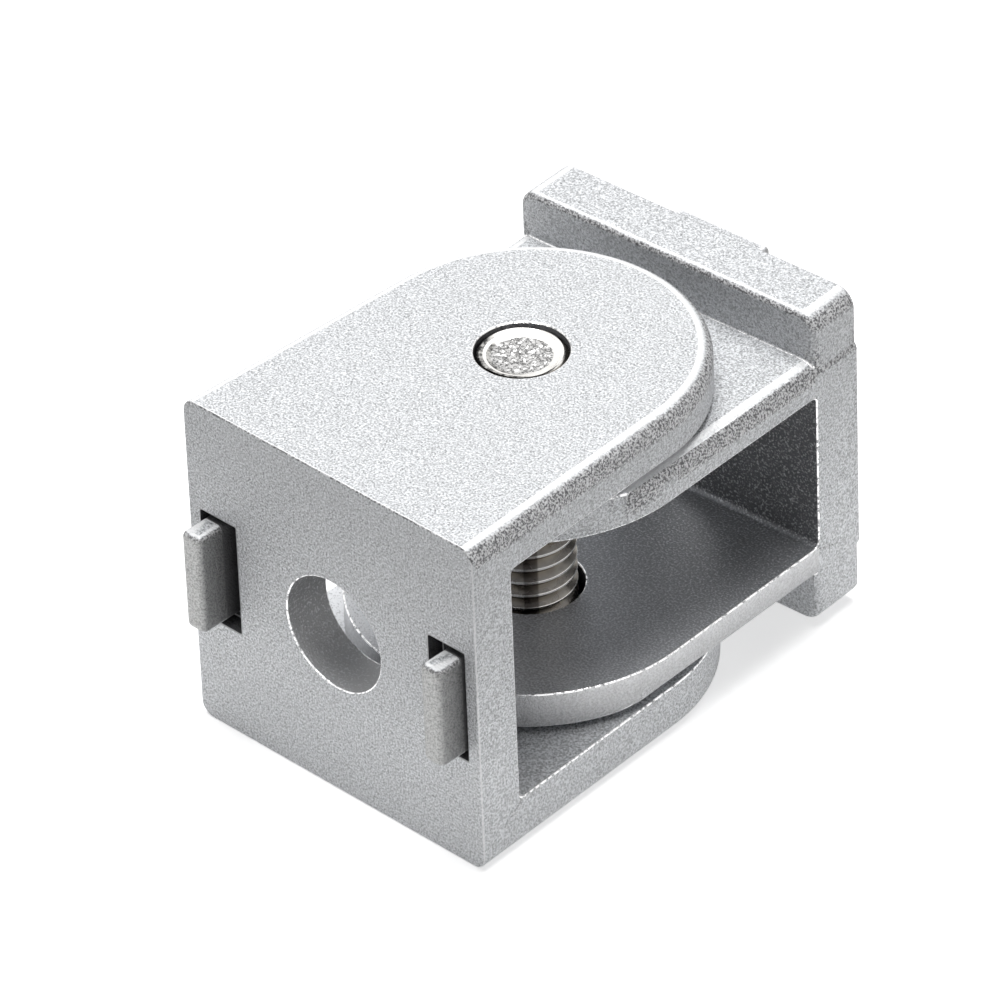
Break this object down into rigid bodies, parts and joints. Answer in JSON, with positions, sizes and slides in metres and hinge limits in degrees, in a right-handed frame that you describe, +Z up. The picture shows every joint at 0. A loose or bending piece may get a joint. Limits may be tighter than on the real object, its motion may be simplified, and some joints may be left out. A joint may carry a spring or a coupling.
{
  "type": "profile pivot joint",
  "caption": "Pivot joint for 20 mm slotted profile: two cast forks on a steel countersunk screw, each with a profile bore and locating lugs in its mounting face.",
  "frame": {"origin": "centre of the profile bore in the outer fork's mounting face", "axes": "+Y from the outer fork's mounting face towards the inner fork, +Z up along the pivot axis to the screw's threaded end, +X across the forks"},
  "size_m": [0.0207, 0.0319, 0.0198],
  "materials": {
    "cast_silver": "satin silver with a fine speckle, over die-cast zinc alloy",
    "screw_steel": "plain bright steel, slightly warm, with thread marks"
  },
  "bodies": {
    "outer": {"outer_fork": "cast_silver", "pivot_screw": "screw_steel"},
    "inner": {"inner_fork": "cast_silver"}
  },
  "joints": [
    {"name": "pivot", "type": "hinge", "parent": "outer", "child": "inner", "pos_m": [0, 0.01405, 0], "axis": [0, 0, 1], "range_deg": [-93.4, 86.6]}
  ]
}
